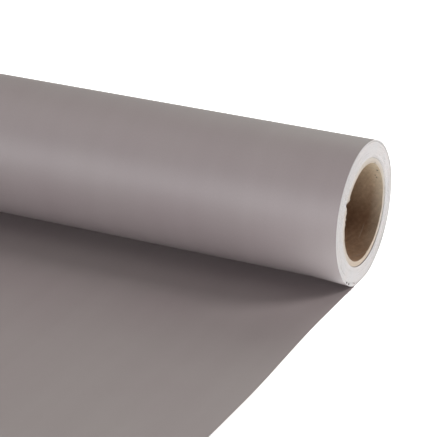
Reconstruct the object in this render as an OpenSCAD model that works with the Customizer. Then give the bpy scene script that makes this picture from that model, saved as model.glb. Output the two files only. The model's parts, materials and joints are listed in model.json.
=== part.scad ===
// Roll of seamless backdrop paper on a spiral-wound board core, resting on its own pulled-out sheet.
// Millimetres, +Z up. The origin is on the core's axis at mid-length, and +X runs along the core.
// The paper leaves the roll at its lowest line and lies flat towards -Y.

/* [Paper] */
// Width of the paper, which is also the length of the roll
paper_w = 1350; // [600:10:2720]
// Thickness of the paper
paper_t = 0.215; // [0.15:0.005:0.3]
// Whole length of the paper, rolled up and pulled out
paper_len = 11000; // [5000:500:25000]
// Length pulled out from under the roll
pulled_len = 500; // [300:10:800]
// How much of the pulled-out length, at its free edge, curls upwards
curl_len = 110; // [40:5:200]
// Radius of that curl
curl_r = 320; // [150:10:600]

/* [Core] */
// Diameter of the core's bore
core_bore_d = 57; // [38:0.5:76]
// Thickness of the paper liner that forms the bore
liner_t = 0.35; // [0.3:0.05:0.5]
// Thickness of each of the five board plies
board_t = 0.47; // [0.3:0.01:0.8]
// Thickness of the smooth ply round the outside of the core
outer_ply_t = 0.3; // [0.15:0.05:0.4]
// How far each end of the core sits inside the end of the roll
core_recess = 0.4; // [0:0.1:3]

/* [Start of the paper] */
// Gap between the core and the innermost turn of paper
start_gap = 0.25; // [0.2:0.05:0.5]
// Thickness of the tape that fixes the paper's inner edge to the core
tape_t = 0.12; // [0.05:0.01:0.15]
// Size of a tape strip along the core
tape_w = 50; // [20:5:100]
// Angle that a tape strip covers round the core
tape_angle = 80; // [30:5:120]
// Number of tape strips, spread evenly along the core
tape_count = 3; // [1:1:5]

/* [Clearance] */
// Gap at the two surfaces that slip, inside the outermost turn and below it
slip_gap = 0.03; // [0.02:0.01:0.1]

/* [Hidden] */

BOARD_PLIES = 5;
ROUND = 128;
CURL_STEPS = 24;
TRUE_PAPER = [0.53, 0.49, 0.48];
EDGE_WHITE = [0.88, 0.87, 0.88];
KRAFT = [0.62, 0.52, 0.41];
GREY_BOARD = [0.74, 0.69, 0.62];
CREAM = [0.86, 0.79, 0.70];
TAPE_TAN = [0.80, 0.70, 0.50];

liner_r = core_bore_d / 2;
board_r = liner_r + liner_t;
outer_ply_r = board_r + BOARD_PLIES * board_t;
core_r = outer_ply_r + outer_ply_t;
core_len = paper_w - 2 * core_recess;

// The rolled-up paper fills a ring whose end area is its length times its thickness.
wound_in_r = core_r + start_gap;
roll_r = sqrt(pow(wound_in_r, 2) + (paper_len - pulled_len) * paper_t / PI);
turn_in_r = roll_r - paper_t;
wound_r = turn_in_r - slip_gap;

sheet_top = -(roll_r + slip_gap);
flat_len = pulled_len - curl_len;
curl_angle = curl_len / curl_r * 180 / PI;

// Tube of the given wall along X, centred on the origin.
module tube(r_in, wall, length) {
    rotate([0, 90, 0])
        rotate_extrude($fn = ROUND)
            translate([r_in, -length / 2])
                square([wall, length]);
}

// One board ply: number 1 lies on the liner, and each further one lies on the ply before it.
module board_ply(number) {
    color(GREY_BOARD)
        tube(board_r + (number - 1) * board_t, board_t, core_len);
}

module core_inner_liner() {
    color(KRAFT)
        tube(liner_r, liner_t, core_len);
}

module core_outer_ply() {
    color(CREAM)
        tube(outer_ply_r, outer_ply_t, core_len);
}

// Strips of tape on the outside of the core, under the innermost turn.
module start_tape() {
    pitch = core_len / tape_count;
    color(TAPE_TAN)
        for (i = [0 : tape_count - 1])
            translate([(i - (tape_count - 1) / 2) * pitch - tape_w / 2, 0, 0])
                rotate([0, 90, 0])
                    rotate_extrude(angle = tape_angle, $fn = ROUND)
                        translate([core_r, 0])
                            square([tape_t, tape_w]);
}

// All the turns that spin with the core, as one ring.
module wound_paper() {
    color(EDGE_WHITE)
        tube(wound_in_r, wound_r - wound_in_r, paper_w);
}

// The outermost turn, which runs from the top of the pulled-out sheet round the roll.
module outer_turn() {
    color(TRUE_PAPER)
        tube(turn_in_r, paper_t, paper_w);
}

// Points along the curl at a radius from its centre, from the flat part to the free edge.
function curl_points(radius) = [
    for (i = [0 : CURL_STEPS])
        let (a = curl_angle * i / CURL_STEPS)
            [-flat_len - radius * sin(a), sheet_top + curl_r - radius * cos(a)]
];

function reversed(points) = [for (i = [len(points) - 1 : -1 : 0]) points[i]];

// The sheet on the floor: flat from the roll's lowest line, then curling up at its free edge.
module pulled_sheet() {
    upper_face = concat([[0, sheet_top]], curl_points(curl_r));
    lower_face = concat([[0, sheet_top - paper_t]], curl_points(curl_r + paper_t));
    color(TRUE_PAPER)
        rotate([90, 0, 90])
            linear_extrude(paper_w, center = true)
                polygon(concat(upper_face, reversed(lower_face)));
}

core_inner_liner();
board_ply(1);  // core_board_ply_1
board_ply(2);  // core_board_ply_2
board_ply(3);  // core_board_ply_3
board_ply(4);  // core_board_ply_4
board_ply(5);  // core_board_ply_5
core_outer_ply();
start_tape();
wound_paper();
outer_turn();
pulled_sheet();
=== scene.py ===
"""Looks of a roll of backdrop paper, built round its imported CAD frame.

Metres, +Z up. The core's axis is the X axis, and the sheet leaves the roll's lowest line towards -Y.
An angle round the roll is 0 at that lowest line and grows along the paper's way into the roll: 90
degrees at the back (+Y), 180 at the top and 270 at the front. A place in a turn is such an angle as a
share of the turn.
"""

import json
import math
import random

import bmesh
import bpy
import numpy as np
from mathutils import Matrix, Vector, noise


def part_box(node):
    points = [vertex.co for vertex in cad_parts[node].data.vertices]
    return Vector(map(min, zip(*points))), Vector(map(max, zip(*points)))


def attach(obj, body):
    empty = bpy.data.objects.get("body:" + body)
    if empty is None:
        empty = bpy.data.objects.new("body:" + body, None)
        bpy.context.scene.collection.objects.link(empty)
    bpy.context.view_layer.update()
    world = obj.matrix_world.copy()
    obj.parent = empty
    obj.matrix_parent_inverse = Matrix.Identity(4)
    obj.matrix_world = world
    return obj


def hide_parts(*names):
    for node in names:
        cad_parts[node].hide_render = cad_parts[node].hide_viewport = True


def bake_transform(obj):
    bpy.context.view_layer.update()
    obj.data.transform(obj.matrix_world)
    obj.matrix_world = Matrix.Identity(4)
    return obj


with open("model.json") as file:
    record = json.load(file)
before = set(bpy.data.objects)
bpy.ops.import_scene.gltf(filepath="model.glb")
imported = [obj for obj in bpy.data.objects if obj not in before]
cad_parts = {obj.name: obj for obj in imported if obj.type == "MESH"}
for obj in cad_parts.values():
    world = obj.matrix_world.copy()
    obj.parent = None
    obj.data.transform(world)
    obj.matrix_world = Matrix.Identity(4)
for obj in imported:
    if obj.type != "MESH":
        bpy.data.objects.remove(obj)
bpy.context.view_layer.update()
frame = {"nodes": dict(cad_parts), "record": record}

MM = 0.001
TURN = 2 * math.pi


# ---------------------------------------------------------------- sizes, read from the frame


def radii(node):
    """Smallest and largest distance of a CAD node's points from the core's axis."""
    reach = [math.hypot(v.co.y, v.co.z) for v in frame["nodes"][node].data.vertices]
    return min(reach), max(reach)


MOUNTS = {m["name"]: m for m in frame["record"]["mounts"]}
HALF_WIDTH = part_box("wound_paper")[1].x
CORE_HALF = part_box("core_inner_liner")[1].x
TURN_IN, TURN_OUT = radii("outer_turn")
WOUND_IN = radii("wound_paper")[0]
TAPE_IN, TAPE_OUT = radii("start_tape")
PAPER_T = TURN_OUT - TURN_IN
SHEET_LOW, SHEET_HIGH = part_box("pulled_sheet")
FLOOR_Z = SHEET_LOW.z

# The flat part's underside is a mount whose point lies at its middle. The rest of the sheet is the curl.
FLAT_LEN = -2 * MOUNTS["sheet_underside"]["pos_m"][1]
CURL_RUN = -SHEET_LOW.y - FLAT_LEN
CURL_RISE = SHEET_HIGH.z - FLOOR_Z - PAPER_T
CURL_ANGLE = 2 * math.atan2(CURL_RISE, CURL_RUN)
CURL_R = CURL_RUN / math.sin(CURL_ANGLE)

PLIES = ["core_inner_liner"] + [f"core_board_ply_{i}" for i in range(1, 6)] + ["core_outer_ply"]
BORE_R, CORE_R = radii(PLIES[0])[0], radii(PLIES[-1])[1]


# ---------------------------------------------------------------- small tools

NOISE_APART = 7.3  # how far apart two seeds lie in the noise
SHARP_DEG = 35  # edges of a mesh that bend by more than this look sharp


def smooth(t):
    """Goes smoothly from 0 at t = 0 to 1 at t = 1, and stays there."""
    t = min(1.0, max(0.0, t))
    return t * t * (3 - 2 * t)


def bump(value, centre, width):
    """A rounded bump of height 1 at the centre, which is gone at three widths away."""
    return math.exp(-(((value - centre) / width) ** 2))


def wander(seed, x, y=0.0):
    """Smooth noise of about -1 to 1 along one or two coordinates."""
    return noise.noise(Vector((x, y, NOISE_APART * seed)))


def on_roll(x, radius, angle):
    """The point at a place along the core, a distance from its axis and an angle round it."""
    return (x, radius * math.sin(angle), -radius * math.cos(angle))


def towards(azimuth, elevation):
    """The direction of an azimuth, which is 0 at -Y and 90 at +X, and an elevation, both in degrees."""
    a, e = math.radians(azimuth), math.radians(elevation)
    return Vector((math.sin(a) * math.cos(e), -math.cos(a) * math.cos(e), math.sin(e)))


def face_outwards(mesh):
    """Turns the faces of a closed mesh so that all their normals point out of it."""
    shape = bmesh.new()
    shape.from_mesh(mesh)
    bmesh.ops.recalc_face_normals(shape, faces=shape.faces)
    shape.to_mesh(mesh)
    shape.free()


def add_piece(name, points, faces, materials, face_materials=None, uvs=None):
    """A mesh object. face_materials gives each face's material, and uvs gives each corner's place."""
    mesh = bpy.data.meshes.new(name)
    mesh.from_pydata(points, [], faces)
    for material in materials:
        mesh.materials.append(material)
    if face_materials is not None:
        mesh.polygons.foreach_set("material_index", face_materials)
    if uvs is not None:
        layer = mesh.uv_layers.new(name="paper")
        layer.data.foreach_set("uv", np.asarray(uvs, np.float32).ravel())
    mesh.polygons.foreach_set("use_smooth", [True] * len(mesh.polygons))
    face_outwards(mesh)
    mesh.set_sharp_from_angle(angle=math.radians(SHARP_DEG))
    mesh.validate()
    piece = bpy.data.objects.new(name, mesh)
    bpy.context.scene.collection.objects.link(piece)
    return piece


def bar_faces(first, rings):
    """The faces of a bar whose rings of four points follow one another from a first point on.

    Each ring lists two pairs of points, and each pair spans the bar's thickness. So every ring but the
    last starts two broad faces and then two edges, and the last two faces close the bar's ends.
    """
    faces = []
    for ring in range(rings - 1):
        a, b = first + 4 * ring, first + 4 * (ring + 1)
        faces += [[a, b, b + 2, a + 2], [a + 1, a + 3, b + 3, b + 1]]
        faces += [[a, a + 1, b + 1, b], [a + 2, b + 2, b + 3, a + 3]]
    last = first + 4 * (rings - 1)
    return faces + [[first, first + 2, first + 3, first + 1], [last, last + 1, last + 3, last + 2]]


# ---------------------------------------------------------------- strips of paper

WOUND_FILL = 0.95  # the paper's share of the space between two turns
HALF_PAPER = PAPER_T * WOUND_FILL / 2
EDGE_FADE = 2.5 * MM  # how far in from a cut edge the edge's own unevenness reaches


def strip_solid(name, line, stations, materials, edge_shift, push, swell=None):
    """A closed solid of sheet paper that follows a line in the YZ plane and spans the stations along X.

    Each row of line is y, z, the normal's y and z towards the paper's inner face, the number of turns
    so far and the length so far. edge_shift(end, row) moves an end of the row out along X, push(x, row)
    moves a point along the normal, and swell(x, row) is how many times thicker the frayed paper is at the
    very edge. The two broad faces get the first material and the cut edges get the second.
    """
    rows, columns = len(line), len(stations)
    points, places = [], []
    for row in line:
        y, z, ny, nz, _, length = row
        shifts = [edge_shift(end, row) for end in (-1, 1)]
        for x in stations:
            end = 1 if x > 0 else -1
            near = max(0.0, 1 - (HALF_WIDTH - abs(x)) / EDGE_FADE)  # 1 at the cut edge
            place = x + end * shifts[(end + 1) // 2] * near * near
            pushed = push(x, row)
            half = HALF_PAPER
            if swell:
                half *= 1 + (swell(x, row) - 1) * near ** 3
            for side in (-half, half):
                points.append((place, y + ny * (pushed + side), z + nz * (pushed + side)))
            places.append((place, length))

    def corner(i, j, side):
        return 2 * (i * columns + j) + side

    faces, kinds = [], []
    for i in range(rows - 1):
        for j in range(columns - 1):
            quad = [(i, j), (i, j + 1), (i + 1, j + 1), (i + 1, j)]
            faces.append([corner(a, b, 1) for a, b in reversed(quad)])
            faces.append([corner(a, b, 0) for a, b in quad])
            kinds += [0, 0]
        for j in (0, columns - 1):
            edge = [corner(i, j, 0), corner(i + 1, j, 0), corner(i + 1, j, 1), corner(i, j, 1)]
            faces.append(edge if j else edge[::-1])
            kinds.append(1)
    for j in range(columns - 1):
        for i in (0, rows - 1):
            edge = [corner(i, j, 0), corner(i, j, 1), corner(i, j + 1, 1), corner(i, j + 1, 0)]
            faces.append(edge[::-1] if i else edge)
            kinds.append(1)
    uvs = [places[corner_index // 2] for face in faces for corner_index in face]
    return add_piece(name, points, faces, materials, kinds, uvs)


def with_lengths(rows):
    """Adds to each row of a line its length from the first row, at its end."""
    line, length = [], 0.0
    for i, row in enumerate(rows):
        if i:
            length += math.hypot(row[0] - rows[i - 1][0], row[1] - rows[i - 1][1])
        line.append((*row, length))
    return line


def roll_row(radius, turn):
    """A row of a line at a number of turns round the roll, with its normal towards the core's axis."""
    sin, cos = math.sin(TURN * turn), math.cos(TURN * turn)
    return (radius * sin, -radius * cos, -sin, cos, turn)


# ---------------------------------------------------------------- the line that the paper follows

CURL_STEPS = 26
FLAT_STEP = 6 * MM
NEAR_ROLL = 42 * MM  # the part of the flat sheet that is seen next to the roll has finer steps
NEAR_STEP = 0.5 * MM

LOOSE_TURNS = 4.15  # the outermost turns, which belong to the sheet and hang slack at its right edge
SETTLE = 0.1  # the part of each wound turn over which it steps in by the paper's thickness

# Each turn has evenly spaced rows, and more of them where the edge is nicked.
TURN_STEPS = 180
NICKED_FROM = 0.8785
NICKED_ROWS = 60
NICKED_STEPS = 720  # per whole turn
EVEN_PLACES = [i / TURN_STEPS for i in range(TURN_STEPS)]
TURN_PLACES = sorted(EVEN_PLACES + [NICKED_FROM + i / NICKED_STEPS for i in range(NICKED_ROWS)])


def turns_between(start, end):
    """The turns at which a line has a row."""
    turns = [whole + place for whole in range(math.ceil(end)) for place in TURN_PLACES]
    return [start] + [turn for turn in turns if start < turn < end] + [end]


def turn_radius(turn):
    """The radius of the spiral's mid-line at a number of turns from where the sheet leaves the roll."""
    on_table, on_roll_turn = -FLOOR_Z - PAPER_T / 2, (TURN_IN + TURN_OUT) / 2
    first = min(1.0, turn)
    return on_table + (on_roll_turn - on_table) * first - PAPER_T * (turn - first)


def sheet_line():
    """The free sheet and the outermost turns, from the free edge to the end of those turns."""
    middle = FLOOR_Z + PAPER_T / 2
    rows = []
    for i in range(CURL_STEPS):
        a = CURL_ANGLE * (1 - i / CURL_STEPS)
        y = -FLAT_LEN - CURL_R * math.sin(a)
        z = middle + CURL_R * (1 - math.cos(a))
        rows.append((y, z, math.sin(a), math.cos(a), 0.0))
    far = int((FLAT_LEN - NEAR_ROLL) / FLAT_STEP)
    near = int(NEAR_ROLL / NEAR_STEP)
    steps = [-FLAT_LEN + i / far * (FLAT_LEN - NEAR_ROLL) for i in range(far)]
    steps += [-NEAR_ROLL * (1 - i / near) for i in range(near)]
    rows += [(y, middle, 0.0, 1.0, 0.0) for y in steps]
    rows += [roll_row(turn_radius(turn), turn) for turn in turns_between(0, LOOSE_TURNS)]
    return with_lengths(rows)


def wound_line():
    """The turns that spin with the core, from the outside in.

    Each turn is round, and steps in at its end. So the outermost one clears the sheet at every angle.
    """
    outer, innermost = turn_radius(LOOSE_TURNS) - PAPER_T, WOUND_IN + PAPER_T / 2
    steps = round((outer - innermost) / PAPER_T)
    rows = []
    for turn in turns_between(LOOSE_TURNS, LOOSE_TURNS + steps + 1):
        whole, part = divmod(turn - LOOSE_TURNS, 1)
        step = min(steps, whole + smooth((part - 1 + SETTLE) / SETTLE))
        rows.append(roll_row(outer - (outer - innermost) * step / steps, turn))
    return with_lengths(rows)


# ---------------------------------------------------------------- how the paper lies

SLACK = 1.3 * MM  # how far the outermost turn hangs away from the roll at the right-hand edge
SLACK_REACH = 26 * MM  # how far in from the edge it does
SLACK_BEFORE = 0.055  # where it hangs out most, in turns before the lowest line
SLACK_WIDTH = 0.075  # in turns
SLACK_LOSS = 0.25  # how much smaller a turn's share of it is than that of the turn outside it
FIRST_SHARE = 1.12
LEAST_SHARE = 0.05
SHEET_ROOM = 1.6  # the height that the lying sheet takes up under a slack turn, in thicknesses of paper
LAYER_ROOM = 1.1  # and the height of each turn between the two
LEAST_COSINE = 0.2  # of the angle between a place and the lowest line, when its room is worked out
FRAYING = 0.25  # how much the slack thickens the frayed edges

RIPPLE = 0.45 * MM  # how far the lying sheet rises off the floor on average
RIPPLE_START = 0.07  # from the core's axis
RIPPLE_RUN = 0.12
RIPPLE_END = 0.02  # from the free edge
RIPPLE_WAVES = (2.1, 5.0)  # per metre across and along the sheet

ASKEW = 3.3 * MM  # how far the lying sheet drifts to the right
ASKEW_START = 60 * MM  # where that starts, in front of the core's axis
ASKEW_RUN = 110 * MM  # the length of sheet over which it happens


def slack_at(x, row):
    """How far the outermost turn hangs out at a place, and the share of it that this row's turn has.

    It hangs out near the right-hand edge, low on the side of the sheet, as far as the sheet leaves room.
    """
    y, z, turn = row[0], row[1], row[4]
    near = smooth(1 - (HALF_WIDTH - x) / SLACK_REACH)
    out = SLACK * near * bump((turn + SLACK_BEFORE + 0.5) % 1, 0.5, SLACK_WIDTH)
    share = max(LEAST_SHARE, min(1.0, FIRST_SHARE - SLACK_LOSS * turn))
    layers = max(0, round(turn) - 1)  # how many other turns lie between this one and the sheet
    lowest = abs(FLOOR_Z) - PAPER_T * (SHEET_ROOM + LAYER_ROOM * layers)
    room = lowest / max(LEAST_COSINE, math.cos(TURN * turn)) - math.hypot(y, z)
    return max(0.0, min(out, room / share)), share


def slack_swell(x, row):
    """How many times thicker a frayed edge is. Slack turns, which are spread apart, fray more."""
    return 1 + FRAYING * slack_at(x, row)[0] / PAPER_T if row[4] else 1.0


def slack(x, row):
    """Moves the outermost turns outwards where they are slack, each one less than the one outside it."""
    if row[4] == 0:
        return sheet_ripple(x, row[0])
    out, share = slack_at(x, row)
    return -out * share


def sheet_ripple(x, y):
    """The lying sheet's slight unevenness: it rises a little off the floor away from the roll."""
    away = smooth((-y - RIPPLE_START) / RIPPLE_RUN) * smooth((y + FLAT_LEN + CURL_RUN) / RIPPLE_END)
    return away * RIPPLE * (1 + wander(1, RIPPLE_WAVES[0] * x, RIPPLE_WAVES[1] * y))


def lie_askew(piece):
    """Moves the lying sheet a little to the right, more and more the further it is from the roll."""
    for vertex in piece.data.vertices:
        vertex.co.x += ASKEW * smooth((-vertex.co.y - ASKEW_START) / ASKEW_RUN)


# ---------------------------------------------------------------- the paper's cut edges

# Each nick of the outermost turns: its place and width in turns, the turn at which it is deepest, the
# number of turns over which it fades to either side of that one, and its share of the full depth.
NICKS = (
    (0.904, 0.0035, 2.5, 3.0, 1.0),
    (0.918, 0.003, 0.8, 2.0, 1.0),
    (0.953, 0.003, 5.0, 2.0, 0.5),
)
NICK_DEPTH = 0.4 * MM
SUNK_DEPTH = 0.3 * MM
WAVE = 0.10 * MM  # how unevenly the turns end together
TURN_WAVE = 0.035 * MM  # how unevenly they end one beside another
PUSHED_OUT = 0.20 * MM  # how far the slack turns stand out of the others
CLOSE_PLACE = 0.40  # where the innermost turns lie closest to the core
CLOSE_SHIFT = 0.10 * MM
CLOSE_SUNK = 0.12 * MM

SHEET_WAVE = 0.05 * MM
TORN_RIGHT = (-0.018, 0.009)  # middle and width of the torn part of the sheet's right edge, along Y
TORN_LEFT = (-0.03, 0.008)
TORN_OUT = 0.15 * MM  # how far the torn part stands out on average
TORN_WAVE = 0.8 * MM
SHEET_WEAR = 0.5 * MM  # how deep the worn edge under the roll is
WOUND_WEAR = 0.35 * MM


def turn_edge(end, place, depth):
    """How far a turn's cut edge stands out of the roll's end. place and depth are in turns.

    depth counts the turns inwards from where the sheet leaves the roll.
    """
    circle = (2.0 * math.sin(TURN * place), 2.0 * math.cos(TURN * place) + 0.35 * depth)
    shift = WAVE * wander(11 + end, *circle)
    shift += TURN_WAVE * wander(14 + end, 3.7 * depth, 0.8 * math.cos(TURN * place))
    shift += PUSHED_OUT * smooth(1 - depth / 9) * bump(place, 0.885, 0.085)
    nick = 0.0
    for at, width, deepest, turns, size in NICKS:
        nick += size * bump(place, at, width) * bump(depth, deepest, turns)
    sunk = bump(depth, 13, 0.7) * bump(place, 0.868, 0.03)
    return shift - NICK_DEPTH * nick - SUNK_DEPTH * sunk


def sheet_edge(end, row):
    """How far the cut edge of the sheet and outermost turns stands out of line."""
    y, turn, length = row[0], row[4], row[5]
    if turn == 0:
        torn = bump(y, *TORN_RIGHT) if end > 0 else 0.35 * bump(y, *TORN_LEFT)
        shift = SHEET_WAVE * wander(2 + end, 260 * length)
        return shift + torn * (TORN_OUT + TORN_WAVE * wander(5, 1500 * length))
    place = turn % 1
    wear_and_painted_light = bump(place, 0.045, 0.045) + bump(place, 0.975, 0.02)
    return turn_edge(end, place, turn) - SHEET_WEAR * wear_and_painted_light * abs(wander(9, 700 * length))


def near_core(row, turns):
    """Goes from 1 at the innermost turn to 0 at a number of turns further out."""
    return 1 - smooth((math.hypot(row[0], row[1]) - WOUND_IN) / (turns * PAPER_T))


def wound_edge(end, row):
    """How far the cut edge of a wound turn stands out of the roll's end."""
    place, depth = row[4] % 1, row[4]
    rough = bump(place, 0.04, 0.05) * smooth(1 - depth / 6)
    sunk = near_core(row, 6) * bump(place, CLOSE_PLACE, 0.17)
    shift = turn_edge(end, place, depth) - CLOSE_SUNK * sunk
    return shift - WOUND_WEAR * rough * abs(wander(17, 40 * place, depth))


def wound_settle(_, row):
    """Moves the innermost turns towards the core, most at the place where they lie closest to it."""
    return CLOSE_SHIFT * near_core(row, 9) * bump(row[4] % 1, CLOSE_PLACE, 0.16)


# ---------------------------------------------------------------- the paper

STATIONS_MM = (0, 0.5, 1.2, 2.5, 5, 8, 12, 17, 24, 35)  # distances from a cut edge
MIDDLE_STEPS = 16


def stations():
    """Places along the roll: close together by the two cut edges, and wide apart between them."""
    side = [HALF_WIDTH - distance * MM for distance in STATIONS_MM]
    inner = [side[-1] * (1 - 2 * i / MIDDLE_STEPS) for i in range(1, MIDDLE_STEPS)]
    return sorted(side + inner + [-x for x in side])


def build_sheet(paper, edge):
    """The pulled-out sheet and the outermost turns, which are one length of paper."""
    looks = [paper, edge]
    piece = strip_solid("backdrop_sheet", sheet_line(), stations(), looks, sheet_edge, slack, slack_swell)
    lie_askew(piece)
    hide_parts("pulled_sheet", "outer_turn")
    return piece


def build_wound(paper, edge):
    """All the turns that spin with the core."""
    ends = [-HALF_WIDTH, HALF_WIDTH]
    piece = strip_solid("wound_turns", wound_line(), ends, [paper, edge], wound_edge, wound_settle)
    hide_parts("wound_paper")
    return piece


# ---------------------------------------------------------------- the core's plies and the tape

PLY_STEPS = 240  # per turn of the helix
PLY_PITCH = 112 * MM
PLY_SEAM = 0.35 * MM  # the gap where a strip meets its own next turn
PLY_FILL = 0.96  # the ply's share of its own thickness; the rest is glue line
PLY_STAGGER = 0.37  # how far each ply's seam lies from the next one's, as a share of the pitch
LINER_FUZZ = 0.16 * MM  # how uneven the cut ends are
PLY_FUZZ = 0.09 * MM
AT_END = 1e-9  # points closer than this to the core's end are on its cut

CUT_ASKEW = 0.18 * MM  # how far the core's end stands out on average, because its cut is askew
CUT_FAR_DEG = 144  # the side where it stands out furthest
TEAR = 1.3 * MM  # how far in the torn place at the core's right end reaches
TEAR_DEG = 242
TEAR_WIDTH_DEG = 2.8
TEAR_WALL = 1.1  # one over the share of the wall's thickness that is torn

TAPE_STRIPS = 3
TAPE_LENGTH = 50 * MM  # along the core
TAPE_SPREAD = math.radians(80)  # round it
TAPE_MIDDLE = math.radians(-180)
TAPE_STEPS = 24


def core_cut(x, radius, angle):
    """How far the core's end stands out: it is cut a little askew, and torn away in one place."""
    askew = CUT_ASKEW * (1 + math.cos(angle - math.radians(CUT_FAR_DEG)))
    depth = (radius - BORE_R) / (CORE_R - BORE_R)
    away = (angle - math.radians(TEAR_DEG) + math.pi) % TURN - math.pi
    torn = bump(away, 0.0, math.radians(TEAR_WIDTH_DEG)) * max(0.0, 1 - TEAR_WALL * depth)
    return askew - TEAR * torn if x > 0 else askew


def ply_solid(name, r_in, r_out, phase, materials, fuzz):
    """A strip wound in a helix into a tube, and cut off square at both ends of the core.

    phase is where the seam lies, as a share of the pitch, and fuzz is how uneven the cut ends are.
    The broad faces get the first material and the cut edges get the second.
    """
    step = PLY_PITCH / PLY_STEPS
    start = -CORE_HALF - PLY_PITCH * (1 + phase)
    count = int(2 * (CORE_HALF + PLY_PITCH) / step) + PLY_STEPS
    seed = sum(map(ord, name)) % 97  # each ply has its own
    points = []
    for i in range(count):
        low = start + i * step
        high = low + PLY_PITCH - PLY_SEAM
        clipped = [max(low, -CORE_HALF), min(high, CORE_HALF)]
        if clipped[1] - clipped[0] < step / 4:
            continue
        angle = TURN * i / PLY_STEPS
        for x in clipped:
            outwards = math.copysign(1, x) if abs(abs(x) - CORE_HALF) < AT_END else 0.0
            for radius in (r_in, r_out):
                out = core_cut(x, radius, angle) + fuzz * wander(seed, 9 * angle, 3000 * radius)
                points.append(on_roll(x + outwards * out, radius, angle))
    rings = len(points) // 4
    kinds = [0, 0, 1, 1] * (rings - 1) + [1, 1]
    return add_piece(name, points, bar_faces(0, rings), materials, kinds)


def build_core(liner, board, cream, cut):
    """The liner, the board plies and the outer ply, each with its seam at a different place."""
    looks = [("core_liner", liner, LINER_FUZZ)]
    looks += [("core_board", board, PLY_FUZZ)] * 5
    looks += [("core_outer", cream, PLY_FUZZ)]
    pieces = []
    for i, (node, (slot, face, fuzz)) in enumerate(zip(PLIES, looks)):
        r_in, r_out = radii(node)
        r_out = r_in + (r_out - r_in) * PLY_FILL
        piece = ply_solid(node + "_strip", r_in, r_out, PLY_STAGGER * i % 1.0, [face, cut], fuzz)
        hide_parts(node)
        pieces.append(piece)
    return pieces


def build_tape(tape):
    """The strips of tape that hold the paper's inner edge to the core."""
    apart = 2 * CORE_HALF / TAPE_STRIPS
    points, faces = [], []
    for strip in range(TAPE_STRIPS):
        middle = (strip - (TAPE_STRIPS - 1) / 2) * apart
        faces += bar_faces(len(points), TAPE_STEPS + 1)
        for i in range(TAPE_STEPS + 1):
            angle = TAPE_MIDDLE + TAPE_SPREAD * (i / TAPE_STEPS - 0.5)
            for x in (middle - TAPE_LENGTH / 2, middle + TAPE_LENGTH / 2):
                for radius in (TAPE_IN, TAPE_OUT):
                    points.append(on_roll(x, radius, angle))
    piece = add_piece("start_tape_strips", points, faces, [tape])
    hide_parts("start_tape")
    return piece


# ---------------------------------------------------------------- torn fibres, flaps and tabs

FIBRE_RINGS = 4
FIBRE_SIDES = 3
FIBRE_TAPER = 0.85  # the share of its width that a fibre loses up to its tip
FIBRE_BEND = 0.5
RIM_FIBRES = 70  # at each end of the core
SHEET_FIBRES = 46
FRAYED = (-0.021, 0.007)  # middle and spread of the sheet's fibres along Y
FRAYED_FROM, FRAYED_TO = -0.038, -0.008  # the limits of that

FLAP_COLUMNS = 17
FLAP_T = 0.16 * MM
FLAPS = ((235, 5.5, 0.95), (251, 4, 0.5), (258, 3.5, 0.8), (264, 4, 0.6), (205, 4, 0.35))  # degrees, mm

# Each tab's place in its turn, and its radius, length and width in mm.
TABS = ((0.9045, 41.5, 0.9, 0.4), (0.9185, 41.55, 1.1, 0.35), (0.953, 41.2, 0.5, 0.35))
TAB_ROOT = 0.5 * MM  # how far inside the roll's end a tab starts
TAB_TIP = 0.45 * MM  # how far it stands out


def add_fibre(points, faces, root, direction, length, width, rng):
    """Adds a thin tapering fibre to a mesh, bent a little to one side."""
    direction = Vector(direction).normalized()
    side = direction.cross(Vector((0.3, 0.5, 0.8))).normalized()
    other = direction.cross(side)
    bend = side * rng.uniform(-FIBRE_BEND, FIBRE_BEND) + other * rng.uniform(-FIBRE_BEND, FIBRE_BEND)
    first = len(points)
    for i in range(FIBRE_RINGS):
        t = i / (FIBRE_RINGS - 1)
        centre = Vector(root) + direction * length * t + bend * length * t * t
        size = width / 2 * (1 - FIBRE_TAPER * t)
        for k in range(FIBRE_SIDES):
            a = TURN * k / FIBRE_SIDES
            points.append(tuple(centre + size * (side * math.cos(a) + other * math.sin(a))))
    for i in range(FIBRE_RINGS - 1):
        for k in range(FIBRE_SIDES):
            a = first + FIBRE_SIDES * i + k
            b = first + FIBRE_SIDES * i + (k + 1) % FIBRE_SIDES
            faces.append([a, b, b + FIBRE_SIDES, a + FIBRE_SIDES])
    tip = first + FIBRE_SIDES * (FIBRE_RINGS - 1)
    faces.append([first + 2, first + 1, first])
    faces.append([tip, tip + 1, tip + 2])


def add_flap(points, faces, angle, spread, reach, rng):
    """Adds a flap of torn liner that stands into the bore from the core's right-hand rim."""
    faces += bar_faces(len(points), FLAP_COLUMNS)
    for i in range(FLAP_COLUMNS):
        t = i / (FLAP_COLUMNS - 1)
        a = angle + spread * (t - 0.5)
        stand = reach * math.sin(math.pi * t) ** 0.5 * rng.uniform(0.25, 1.0)
        root = (CORE_HALF - 0.35 * MM, BORE_R + 0.2 * MM)
        tip = (CORE_HALF + 0.1 * MM + 0.3 * stand, BORE_R - 0.02 * MM - stand)
        for x, radius in (root, tip):
            points.append(on_roll(x, radius, a))
            points.append(on_roll(x + FLAP_T, radius + 0.3 * FLAP_T, a))


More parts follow.
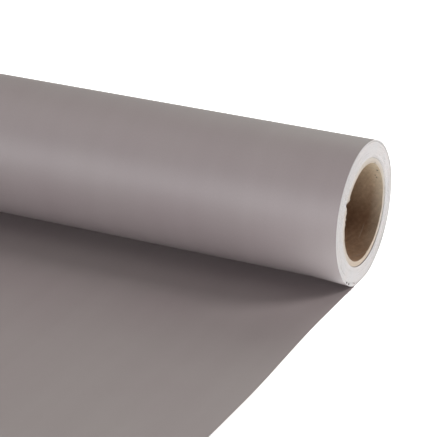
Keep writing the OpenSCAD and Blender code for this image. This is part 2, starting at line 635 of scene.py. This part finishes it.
def build_core_fibres(material):
    """Torn flaps and fibres round the rims of the bore."""
    rng = random.Random(4)
    points, faces = [], []
    for angle, spread, reach in FLAPS:
        add_flap(points, faces, math.radians(angle), math.radians(spread), reach * MM, rng)
    for end in (-1, 1):
        for _ in range(RIM_FIBRES):
            angle = rng.uniform(0, TURN)
            root = on_roll(end * (CORE_HALF - 0.1 * MM), BORE_R + 0.1 * MM, angle)
            inward = -Vector((0, root[1], root[2])).normalized()
            around = Vector((0, -inward.z, inward.y))
            lean = inward * rng.uniform(0.3, 1) + around * rng.uniform(-1, 1)
            lean += Vector((end * rng.uniform(-0.1, 0.5), 0, 0))
            length = rng.uniform(0.25, 0.8) * MM
            add_fibre(points, faces, root, lean, length, rng.uniform(0.04, 0.1) * MM, rng)
    piece = add_piece("core_rim_fibres", points, faces, [material])
    return piece


def add_tab(points, faces, place, radius, length, width):
    """Adds a torn tab of the outermost turns, which is folded out so that its dyed face shows."""
    first, angle = len(points), TURN * place
    for x in (HALF_WIDTH - TAB_ROOT, HALF_WIDTH + TAB_TIP):
        for along in (-length / 2, 0, length / 2):
            half = (0.5 - 0.3 * abs(along) / length) * width / radius
            for side in (-half, half):
                points.append(on_roll(x, radius + along, angle + side))
    for i in (0, 2):
        a, b = first + i, first + 6 + i
        faces.extend([[a, a + 2, a + 3, a + 1], [b, b + 1, b + 3, b + 2]])
        faces.extend([[a, b, b + 2, a + 2], [a + 1, a + 3, b + 3, b + 1]])
    a, b = first, first + 6
    faces.extend([[a, a + 1, b + 1, b], [a + 4, b + 4, b + 5, a + 5]])


def build_tabs(material):
    """Small torn tabs on the outermost turns, low at the roll's right-hand end."""
    points, faces = [], []
    for place, radius, length, width in TABS:
        add_tab(points, faces, place, radius * MM, length * MM, width * MM)
    piece = add_piece("torn_tabs", points, faces, [material])
    return piece


def build_sheet_fibres(material):
    """Torn fibres at the sheet's right-hand edge, where it comes out from under the roll."""
    rng = random.Random(11)
    points, faces = [], []
    for _ in range(SHEET_FIBRES):
        y = min(FRAYED_TO, max(FRAYED_FROM, rng.gauss(*FRAYED)))
        x = HALF_WIDTH - rng.uniform(0.3, 0.9) * MM
        z = FLOOR_Z + PAPER_T * rng.uniform(0.3, 0.9)
        lean = (1, rng.uniform(-0.9, 0.9), rng.uniform(0.0, 0.35))
        length = rng.uniform(0.5, 1.3) * MM
        add_fibre(points, faces, (x, y, z), lean, length, rng.uniform(0.06, 0.16) * MM, rng)
    piece = add_piece("sheet_edge_fibres", points, faces, [material])
    return piece


# ---------------------------------------------------------------- materials


class Nodes:
    """Builds a material's nodes. Each call but finish adds some, and returns what they give."""

    def __init__(self, name):
        self.material = bpy.data.materials.new(name)
        self.material.use_nodes = True
        self.tree = self.material.node_tree
        self.tree.nodes.clear()

    def add(self, kind, inputs=None, output=0, **settings):
        node = self.tree.nodes.new("ShaderNode" + kind)
        for key, value in settings.items():
            setattr(node, key, value)
        for key, value in (inputs or {}).items():
            if isinstance(value, bpy.types.NodeSocket):
                self.tree.links.new(value, node.inputs[key])
            else:
                node.inputs[key].default_value = value
        return node.outputs[output]

    def math(self, operation, a, b=0.0):
        return self.add("Math", {0: a, 1: b}, operation=operation)

    def vector_math(self, operation, a, b):
        return self.add("VectorMath", {0: a, 1: b}, operation=operation)

    def measure(self, operation, a, b=(0, 0, 0)):
        """A vector operation whose result is a number."""
        return self.add("VectorMath", {0: a, 1: b}, output="Value", operation=operation)

    def stretch(self, vector, x, y, z):
        return self.vector_math("MULTIPLY", vector, (x, y, z))

    def noise(self, vector, scale=1.0, detail=2.0, roughness=0.5):
        values = {"Vector": vector, "Scale": scale, "Detail": detail, "Roughness": roughness}
        return self.add("TexNoise", values)

    def span(self, value, low, high, to_low=0.0, to_high=1.0):
        values = {"Value": value, "From Min": low, "From Max": high, "To Min": to_low, "To Max": to_high}
        return self.add("MapRange", values)

    def vary(self, noise_value, low, high):
        """Spreads the values that a noise mostly has over a range."""
        return self.span(noise_value, 0.3, 0.7, low, high)

    def mix(self, factor, a, b, blend="MIX"):
        return self.add("Mix", {0: factor, 6: a, 7: b}, output=2, data_type="RGBA", blend_type=blend)

    def shade(self, colour, tone):
        """The colour, made lighter or darker by a tone of about 1."""
        grey = self.add("CombineColor", {0: tone, 1: tone, 2: tone})
        return self.mix(1.0, colour, grey, "MULTIPLY")

    def place(self):
        return self.add("TexCoord", output="Object")

    def coordinate(self, vector, axis):
        return self.add("SeparateXYZ", {0: vector}, output=axis)

    def round_axis(self):
        """Distance from the core's axis, and the direction from the axis."""
        across = self.stretch(self.place(), 0.0, 1.0, 1.0)
        direction = self.add("VectorMath", {0: across}, operation="NORMALIZE")
        return self.measure("LENGTH", across), direction

    def rings(self, distance, direction, per_metre, around):
        """A place for noise that changes fast with the distance from the axis and slowly round it."""
        outwards = self.add("CombineXYZ", {"X": self.math("MULTIPLY", distance, per_metre)})
        return self.vector_math("ADD", outwards, self.stretch(direction, around, around, around))

    def finish(self, colour, roughness, height=None, bump_m=0.00003, strength=1.0, **more):
        """Makes the surface. Names in more are inputs of the shader, with _ for each space."""
        values = {"Base Color": colour, "Roughness": roughness}
        values.update({key.replace("_", " "): value for key, value in more.items()})
        if height is not None:
            relief = {"Strength": strength, "Distance": bump_m, "Height": height}
            values["Normal"] = self.add("Bump", relief)
        shader = self.add("BsdfPrincipled", values)
        output = self.tree.nodes.new("ShaderNodeOutputMaterial")
        self.tree.links.new(shader, output.inputs["Surface"])
        return self.material


def paper_material():
    """Matte grey-taupe dyed paper: fine fibres that run along its length, and faint clouds and streaks."""
    n = Nodes("dyed_paper")
    place = n.add("UVMap", uv_map="paper")
    fibres = n.noise(n.stretch(place, 1.0, 0.3, 1.0), 2400.0, 3.0, 0.6)
    specks = n.noise(place, 5200.0, 1.0)
    clouds = n.noise(place, 14.0, 3.0, 0.55)
    streaks = n.noise(n.stretch(place, 90.0, 0.8, 1.0), 1.0, 2.0)
    tone = n.math("ADD", n.vary(fibres, -0.035, 0.035), n.vary(specks, -0.02, 0.02))
    tone = n.math("ADD", tone, n.vary(clouds, -0.03, 0.03))
    tone = n.math("ADD", tone, n.vary(streaks, -0.015, 0.015))
    tone = n.math("ADD", tone, 1.0)
    warm = n.mix(n.span(clouds, 0.35, 0.65), (0.245, 0.205, 0.206, 1), (0.242, 0.207, 0.205, 1))
    rough = n.vary(fibres, 0.52, 0.60)
    height = n.math("ADD", fibres, n.math("MULTIPLY", specks, 0.5))
    colour = n.shade(warm, tone)
    return n.finish(colour, rough, height, bump_m=0.00002, strength=0.5, Specular_IOR_Level=0.5)


LIT_SIDE = (0.0, 0.94, -0.34)  # the side of the roll's end where painted light makes the cut edges palest


def edge_material(name, shade):
    """The pale cut edges of the paper: faint rings from turn to turn, faint cool and warm tints, and
    painted light.
    """
    n = Nodes(name)
    place = n.place()
    distance, direction = n.round_axis()
    rings = n.noise(n.rings(distance, direction, 900.0, 1.2), 1.0, 3.0, 0.6)
    blotch = n.noise(place, 150.0, 2.0)
    grain = n.noise(place, 2600.0, 2.0)
    tint = n.mix(n.span(blotch, 0.35, 0.65), (0.607, 0.588, 0.597, 1), (0.626, 0.588, 0.586, 1))
    tone = n.math("ADD", n.vary(rings, 0.955, 1.02), n.vary(grain, -0.03, 0.03))
    # Painted light and shade: the edges are painted paler towards the back of the roll's end, a little
    # below the axis, and darker towards the front and top.
    facing_lit_side = n.measure("DOT_PRODUCT", direction, LIT_SIDE)
    tone = n.math("MULTIPLY", tone, n.span(facing_lit_side, -1.0, 1.0, 0.955 * shade, 1.045 * shade))
    colour = n.shade(tint, tone)
    return n.finish(colour, 0.9, grain, bump_m=0.00005, strength=0.5, Specular_IOR_Level=0.2)


PAINTED_LIGHT_FROM, PAINTED_LIGHT_TO = math.radians(62), math.radians(140)  # the angles over which the painted light sets in
PAINTED_LIGHT_DEPTH = 45 * MM  # from the rim
# where the painted light right at the rim sets in, and how deep into the bore it reaches
RIM_LIGHT_FROM, RIM_LIGHT_TO = math.radians(15), math.radians(70)
RIM_LIGHT_DEPTH = 7 * MM
SCRATCH_DEPTH = 9 * MM
SCRATCH_SLANT = 0.8 * MM  # per radian
SCRATCH_MIDDLE = 0.76  # in radians
MARKS = ((127.4, 1.5, 0.50), (113.6, 3.1, 0.34), (117.0, 3.7, 0.32))  # degrees, mm from rim, mm radius


def liner_material():
    """Brown kraft liner of the bore: mottled, with painted light and sheen near the rim, a scratch and
    small dark marks.
    """
    n = Nodes("kraft_liner")
    place = n.place()
    x, y, z = [n.coordinate(place, axis) for axis in "XYZ"]
    angle = n.math("ARCTAN2", y, n.math("MULTIPLY", z, -1.0))
    depth = n.math("SUBTRACT", CORE_HALF, n.math("ABSOLUTE", x))

    helix = n.math("SUBTRACT", x, n.math("MULTIPLY", angle, PLY_PITCH / TURN))
    along = n.add("CombineXYZ", {"X": n.math("MULTIPLY", helix, 260.0), "Y": n.math("MULTIPLY", x, 6.0)})
    bands = n.noise(along, 1.0, 3.0, 0.6)
    mottle = n.noise(place, 420.0, 4.0, 0.65)
    fibres = n.noise(n.stretch(place, 900.0, 3000.0, 3000.0), 1.0, 2.0)
    tone = n.math("ADD", n.vary(bands, 0.90, 1.10), n.vary(mottle, -0.10, 0.10))
    tone = n.math("ADD", tone, n.vary(fibres, -0.06, 0.06))
    colour = n.mix(n.span(mottle, 0.35, 0.7), (0.270, 0.162, 0.100, 1), (0.325, 0.204, 0.130, 1))

    # Painted light and sheen: the liner is painted pale near the rim, on the upper part of the side away
    # from the sheet, and less so deeper in the bore.
    upper = n.span(angle, PAINTED_LIGHT_FROM, PAINTED_LIGHT_TO)
    wear_and_painted_light = n.math("MULTIPLY", upper, n.span(depth, 0.0, PAINTED_LIGHT_DEPTH, 0.85, 0.1))
    wear_and_painted_light = n.math("MULTIPLY", wear_and_painted_light, n.vary(bands, 0.85, 1.1))
    colour = n.mix(wear_and_painted_light, colour, (0.68, 0.555, 0.385, 1))

    # At the rim itself more painted light and sheen make it paler still, from low on that side upwards.
    side = n.span(angle, RIM_LIGHT_FROM, RIM_LIGHT_TO)
    rim_painted_light = n.math("MULTIPLY", side, n.span(depth, 0.0, RIM_LIGHT_DEPTH, 0.85, 0.0))
    colour = n.mix(rim_painted_light, colour, (0.72, 0.61, 0.47, 1))
    colour = n.shade(colour, tone)

    slant = n.math("SUBTRACT", depth, SCRATCH_DEPTH)
    slant = n.math("ADD", slant, n.math("MULTIPLY", angle, SCRATCH_SLANT))
    across = n.span(n.math("ABSOLUTE", slant), 0.15 * MM, 0.4 * MM, 1.0, 0.0)
    from_middle = n.math("ABSOLUTE", n.math("SUBTRACT", angle, SCRATCH_MIDDLE))
    ends = n.span(from_middle, 0.12, 0.2, 0.36, 0.0)
    colour = n.mix(n.math("MULTIPLY", across, ends), colour, (0.55, 0.45, 0.36, 1))
    for at_deg, inside, size in MARKS:
        spot = on_roll(CORE_HALF - inside * MM, BORE_R, math.radians(at_deg))
        mark = n.span(n.measure("DISTANCE", place, spot), size * MM, size * 1.6 * MM, 0.85, 0.0)
        colour = n.mix(mark, colour, (0.06, 0.045, 0.04, 1))

    rough = n.vary(mottle, 0.44, 0.56)
    height = n.math("ADD", mottle, fibres)
    return n.finish(colour, rough, height, bump_m=0.00005, strength=0.5, Specular_IOR_Level=0.6)


BOARD_LOOK = {"bump_m": 0.00006, "strength": 0.6, "Specular_IOR_Level": 0.25}


def cut_board_material():
    """The core's cut ends: tan board at the bore that grows paler towards the outside, with faint plies."""
    n = Nodes("cut_board")
    place = n.place()
    distance, direction = n.round_axis()
    plies = n.noise(n.rings(distance, direction, 4200.0, 2.5))
    grain = n.noise(place, 1900.0, 3.0, 0.65)
    tone = n.math("ADD", n.vary(plies, 0.93, 1.05), n.vary(grain, -0.06, 0.04))
    colour = n.mix(n.span(distance, BORE_R, CORE_R), (0.48, 0.405, 0.345, 1), (0.57, 0.525, 0.485, 1))
    low = n.span(n.coordinate(place, "Z"), -0.55 * CORE_R, -0.85 * CORE_R)
    colour = n.mix(low, colour, (0.54, 0.445, 0.365, 1))
    return n.finish(n.shade(colour, tone), 0.88, grain, **BOARD_LOOK)


def board_material(name, light, dark, per_metre):
    """Paperboard with fibres, and with faint layers where a cut shows them."""
    n = Nodes(name)
    distance, direction = n.round_axis()
    layers = n.noise(n.rings(distance, direction, per_metre, 2.5), 1.0, 2.0)
    grain = n.noise(n.place(), 1900.0, 3.0, 0.65)
    factor = n.math("ADD", n.vary(layers, 0.0, 0.7), n.span(grain, 0.35, 0.65, 0.0, 0.3))
    return n.finish(n.mix(factor, light, dark), 0.88, grain, **BOARD_LOOK)


# ---------------------------------------------------------------- the stage

FLOOR_HALF = 40.0
FLOOR_GAP = 0.05 * MM  # between the sheet and the floor
FLOOR_GLOW = 0.62

# Each lamp's name, place along Y, length and power.
BOUNCE_LAMPS = (("near", -30 * MM, 8 * MM, 0.00082), ("far", -72 * MM, 45 * MM, 0.0098))
BOUNCE_WIDTH = 4 * MM
BOUNCE_TINT = (0.86, 1.0, 0.99)
BOUNCE_GAP = 0.1 * MM  # between the sheet and the lamps


def floor():
    """A plain white table top under everything. It glows a little, like a lit table for product shots."""
    size = FLOOR_HALF
    corners = [(-size, -size, 0), (size, -size, 0), (size, size, 0), (-size, size, 0)]
    n = Nodes("white_table")
    glow = {"Emission_Color": (1, 1, 1, 1), "Emission_Strength": FLOOR_GLOW}
    n.finish((0.92, 0.92, 0.92, 1), 0.9, Specular_IOR_Level=0.1, **glow)
    piece = add_piece("floor", corners, [[0, 1, 2, 3]], [n.material])
    piece.location.z = FLOOR_Z - FLOOR_GAP


def sun(name, strength, azimuth, elevation, softness, tint):
    """A soft light from far away. softness is its width in degrees."""
    lamp = bpy.data.lights.new(name, "SUN")
    lamp.energy = strength
    lamp.color = tint
    lamp.angle = math.radians(softness)
    obj = bpy.data.objects.new(name, lamp)
    obj.rotation_euler = towards(azimuth, elevation).to_track_quat("Z", "Y").to_euler()
    bpy.context.scene.collection.objects.link(obj)


def table_bounce(piece):
    """The light that the table beyond the sheet's edge throws up at the roll by its right-hand end."""
    lit = bpy.data.collections.new("lit_by_table_bounce")
    lit.objects.link(piece)
    for name, y, length, power in BOUNCE_LAMPS:
        lamp = bpy.data.lights.new("table_bounce_" + name, "AREA")
        lamp.shape = "RECTANGLE"
        lamp.size = BOUNCE_WIDTH
        lamp.size_y = length
        lamp.energy = power
        lamp.color = BOUNCE_TINT
        obj = bpy.data.objects.new("table_bounce_" + name, lamp)
        obj.location = (HALF_WIDTH - BOUNCE_WIDTH / 2, y, FLOOR_Z + PAPER_T + BOUNCE_GAP)
        obj.rotation_euler = (math.pi, 0, 0)  # so that it shines up
        obj.visible_camera = False
        obj.light_linking.receiver_collection = lit
        bpy.context.scene.collection.objects.link(obj)


def lights():
    """A key light behind the roll's right end, fills from the front and left, and a light from behind."""
    sun("key_light", 2.05, 115.7, 38.0, 20.0, (1.0, 1.0, 0.985))
    sun("front_fill", 2.80, -24.0, 11.5, 30.0, (1.0, 1.0, 1.03))
    sun("left_fill", 0.95, -82.0, 49.0, 40.0, (1.015, 1.0, 0.97))
    sun("back_light", 1.50, 180.0, 31.0, 40.0, (0.94, 1.0, 0.93))

    # The surround is white where the camera sees it, and adds no light of its own.
    world = bpy.data.worlds.new("white_surround")
    world.use_nodes = True
    tree = world.node_tree
    seen = tree.nodes.new("ShaderNodeLightPath").outputs["Is Camera Ray"]
    tree.nodes["Background"].inputs["Color"].default_value = (1, 1, 1, 1)
    tree.links.new(seen, tree.nodes["Background"].inputs["Strength"])
    bpy.context.scene.world = world
    bpy.context.scene.view_settings.view_transform = "Standard"


CAMERA_AZIMUTH = 25.47
CAMERA_ELEVATION = 23.115
CAMERA_ROLL = math.radians(0.65)
CAMERA_DISTANCE = 1.1773
CAMERA_RIGHT = -0.0827  # how far it is moved to its own right from where it would face the roll's end
CAMERA_UP = -0.0035
LENS_MM = 171.06
SENSOR_MM = 36.0


def camera():
    """A long lens that looks at the roll's right end from the front right and above."""
    back = towards(CAMERA_AZIMUTH, CAMERA_ELEVATION)
    azimuth = math.radians(CAMERA_AZIMUTH)
    level = Vector((math.cos(azimuth), math.sin(azimuth), 0))
    upright = back.cross(level)
    right = level * math.cos(CAMERA_ROLL) + upright * math.sin(CAMERA_ROLL)
    up = upright * math.cos(CAMERA_ROLL) - level * math.sin(CAMERA_ROLL)
    lens = bpy.data.cameras.new("camera")
    lens.lens = LENS_MM
    lens.sensor_width = SENSOR_MM
    lens.clip_start = 0.05
    lens.clip_end = 200.0
    obj = bpy.data.objects.new("camera", lens)
    turn = Matrix((right, up, back)).transposed().to_4x4()
    roll_end = Vector((HALF_WIDTH, 0, 0))
    place = roll_end + back * CAMERA_DISTANCE + right * CAMERA_RIGHT + up * CAMERA_UP
    obj.matrix_world = Matrix.Translation(place) @ turn
    bpy.context.scene.collection.objects.link(obj)
    bpy.context.scene.camera = obj


# ---------------------------------------------------------------- build


dyed_paper = paper_material()
cut_edge = edge_material("cut_paper_edge", 1.0)
# The sheet's own cut edges get a copy of the cut-edge material that is 3% darker: painted shade.
shaded_sheet_edge = edge_material("cut_sheet_edge_painted_shade", 0.97)
kraft = liner_material()
board = board_material("grey_board", (0.62, 0.53, 0.44, 1), (0.50, 0.42, 0.34, 1), 2500.0)
board_cut = cut_board_material()
cream = board_material("cream_ply", (0.74, 0.66, 0.57, 1), (0.68, 0.60, 0.51, 1), 2000.0)
tan_tape = board_material("paper_tape", (0.60, 0.48, 0.31, 1), (0.52, 0.41, 0.26, 1), 1500.0)

sheet = build_sheet(dyed_paper, shaded_sheet_edge)
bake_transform(sheet)
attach(build_sheet_fibres(shaded_sheet_edge), "outer_turn")
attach(build_tabs(dyed_paper), "outer_turn")
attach(build_wound(dyed_paper, cut_edge), "roll")
for ply in build_core(kraft, board, cream, board_cut):
    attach(ply, "roll")
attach(build_tape(tan_tape), "roll")
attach(build_core_fibres(board_cut), "roll")

floor()
lights()
table_bounce(sheet)
camera()
